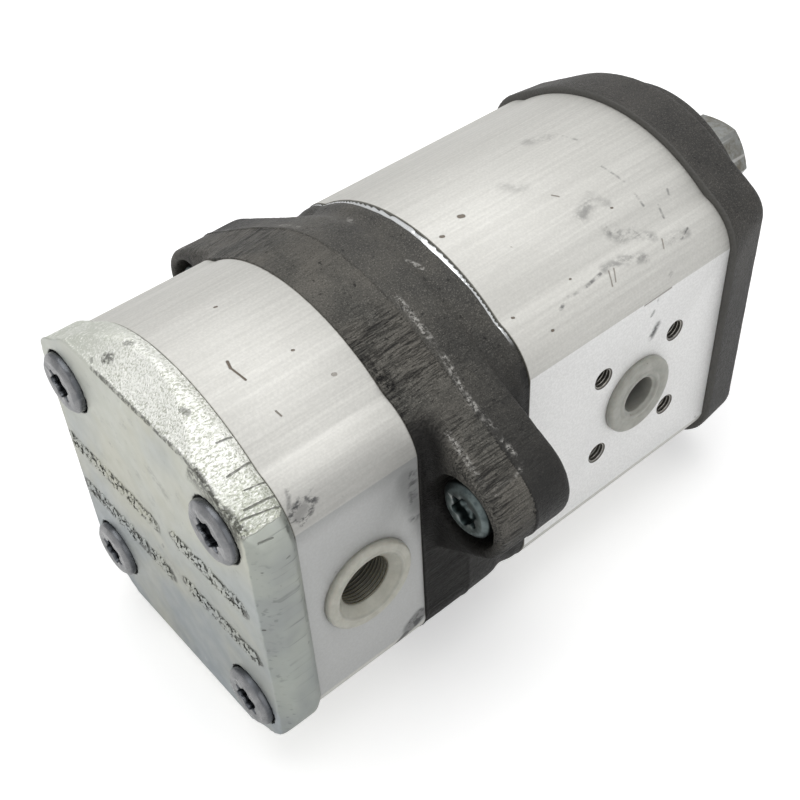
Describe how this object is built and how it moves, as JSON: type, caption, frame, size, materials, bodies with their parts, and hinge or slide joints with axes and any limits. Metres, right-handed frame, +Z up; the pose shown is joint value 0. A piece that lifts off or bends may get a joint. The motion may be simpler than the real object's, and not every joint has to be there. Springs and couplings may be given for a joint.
{
  "type": "hydraulic gear pump",
  "caption": "Tandem external gear pump in bolted sections, with a centring spigot, a tapered drive shaft and plugged side ports.",
  "frame": {"origin": "centre of the front mounting face, on the drive shaft's axis, where the spigot starts", "axes": "+X along the drive shaft and out of its tapered end, +Z up with the driven gears below the drive gears, outlet ports facing -Y and inlet ports facing +Y"},
  "size_m": [0.2179, 0.1392, 0.1152],
  "materials": {
    "black_casting": "black coated casting, fine grain",
    "extruded_aluminium": "extruded and milled, satin",
    "plated_casting": "pale zinc plating on a rough casting",
    "screw_steel": "zinc plated",
    "shaft_steel": "ground",
    "nut_steel": "plated",
    "block_aluminium": "machined",
    "bush_metal": "bronze lined",
    "seal_rubber": "matt",
    "support_plastic": "plain",
    "plug_plastic": "moulded, grey cream"
  },
  "bodies": {
    "housing": {"front_cover": "black_casting", "adaptor": "black_casting", "rear_flange": "black_casting", "front_body": "extruded_aluminium", "rear_body": "extruded_aluminium", "rear_cover": "plated_casting", "front_section_screws": "screw_steel", "lug_screws": "screw_steel", "rear_cover_screws": "screw_steel", "dowel_pins": "shaft_steel", "seal_retaining_ring": "shaft_steel", "front_bearing_block_front": "block_aluminium", "front_bearing_block_rear": "block_aluminium", "rear_bearing_block_front": "block_aluminium", "rear_bearing_block_rear": "block_aluminium", "front_bushes": "bush_metal", "rear_bushes": "bush_metal", "shaft_seal": "seal_rubber", "front_axial_seals": "seal_rubber", "rear_axial_seals": "seal_rubber", "front_body_seals": "seal_rubber", "rear_body_seals": "seal_rubber", "interface_o_ring": "seal_rubber", "front_backup_rings": "support_plastic", "rear_backup_rings": "support_plastic", "front_outlet_plug": "plug_plastic", "front_inlet_plug": "plug_plastic", "rear_outlet_plug": "plug_plastic", "rear_inlet_plug": "plug_plastic"},
    "drive_shaft": {"front_drive_gear": "shaft_steel", "woodruff_key": "shaft_steel", "shaft_washer": "nut_steel", "shaft_nut": "nut_steel"},
    "front_driven": {"front_driven_gear": "shaft_steel"},
    "coupling_sleeve": {"coupling": "shaft_steel"},
    "rear_drive": {"rear_drive_gear": "shaft_steel"},
    "rear_driven": {"rear_driven_gear": "shaft_steel"}
  },
  "joints": [
    {"name": "drive_spin", "type": "hinge", "parent": "housing", "child": "drive_shaft", "pos_m": [0, 0, 0], "axis": [1, 0, 0], "continuous": true},
    {"name": "front_driven_spin", "type": "hinge", "parent": "housing", "child": "front_driven", "pos_m": [0, 0, -0.035], "axis": [1, 0, 0], "continuous": true},
    {"name": "coupling_spin", "type": "hinge", "parent": "housing", "child": "coupling_sleeve", "pos_m": [0, 0, 0], "axis": [1, 0, 0], "continuous": true},
    {"name": "rear_drive_spin", "type": "hinge", "parent": "housing", "child": "rear_drive", "pos_m": [0, 0, 0], "axis": [1, 0, 0], "continuous": true},
    {"name": "rear_driven_spin", "type": "hinge", "parent": "housing", "child": "rear_driven", "pos_m": [0, 0, -0.035], "axis": [1, 0, 0], "continuous": true}
  ],
  "couplings": [
    {"joint": "front_driven_spin", "follows": "drive_spin", "ratio": -1},
    {"joint": "coupling_spin", "follows": "drive_spin", "ratio": 1},
    {"joint": "rear_drive_spin", "follows": "drive_spin", "ratio": 1},
    {"joint": "rear_driven_spin", "follows": "drive_spin", "ratio": -1}
  ]
}
